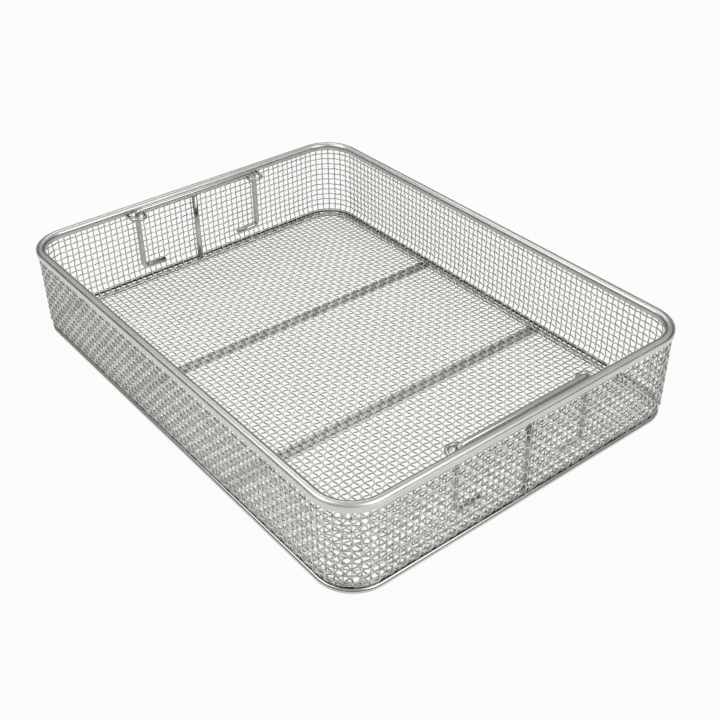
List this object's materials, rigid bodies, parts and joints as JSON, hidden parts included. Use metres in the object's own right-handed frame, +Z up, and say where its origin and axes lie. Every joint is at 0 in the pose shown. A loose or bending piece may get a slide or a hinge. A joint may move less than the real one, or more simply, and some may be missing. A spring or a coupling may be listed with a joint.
{
  "type": "wire mesh instrument cassette",
  "caption": "Open stainless wire-mesh tray for dental instruments, with a tubular rim, rounded corners and drop handles that slide through welded eyelets.",
  "frame": {"origin": "centre of the footprint, on the surface the tray stands on", "axes": "+X along the long side, +Y along the short side, +Z up through the open top"},
  "size_m": [0.4, 0.3, 0.072],
  "materials": {
    "rim_steel": "satin stainless tube",
    "wire_steel": "drawn stainless wire, electropolished",
    "mesh_steel": "woven stainless wire",
    "strip_steel": "satin stainless strip"
  },
  "bodies": {
    "basket": {"rim_tube": "rim_steel", "base_rod": "wire_steel", "cross_strip_left": "strip_steel", "cross_strip_right": "strip_steel", "stiffener_left": "wire_steel", "stiffener_right": "wire_steel", "floor_mesh": "mesh_steel", "wall_mesh_front": "mesh_steel", "wall_mesh_back": "mesh_steel", "wall_mesh_left": "mesh_steel", "wall_mesh_right": "mesh_steel", "corner_mesh_front_left": "mesh_steel", "corner_mesh_front_right": "mesh_steel", "corner_mesh_back_left": "mesh_steel", "corner_mesh_back_right": "mesh_steel", "eyelet_left_front": "wire_steel", "eyelet_left_back": "wire_steel", "eyelet_right_front": "wire_steel", "eyelet_right_back": "wire_steel"},
    "left_handle": {"handle_left": "wire_steel"},
    "right_handle": {"handle_right": "wire_steel"}
  },
  "joints": [
    {"name": "left_handle_slide", "type": "slide", "parent": "basket", "child": "left_handle", "axis": [0, 0, 1], "range_m": [0, 0.0429]},
    {"name": "right_handle_slide", "type": "slide", "parent": "basket", "child": "right_handle", "axis": [0, 0, 1], "range_m": [0, 0.0429]}
  ]
}
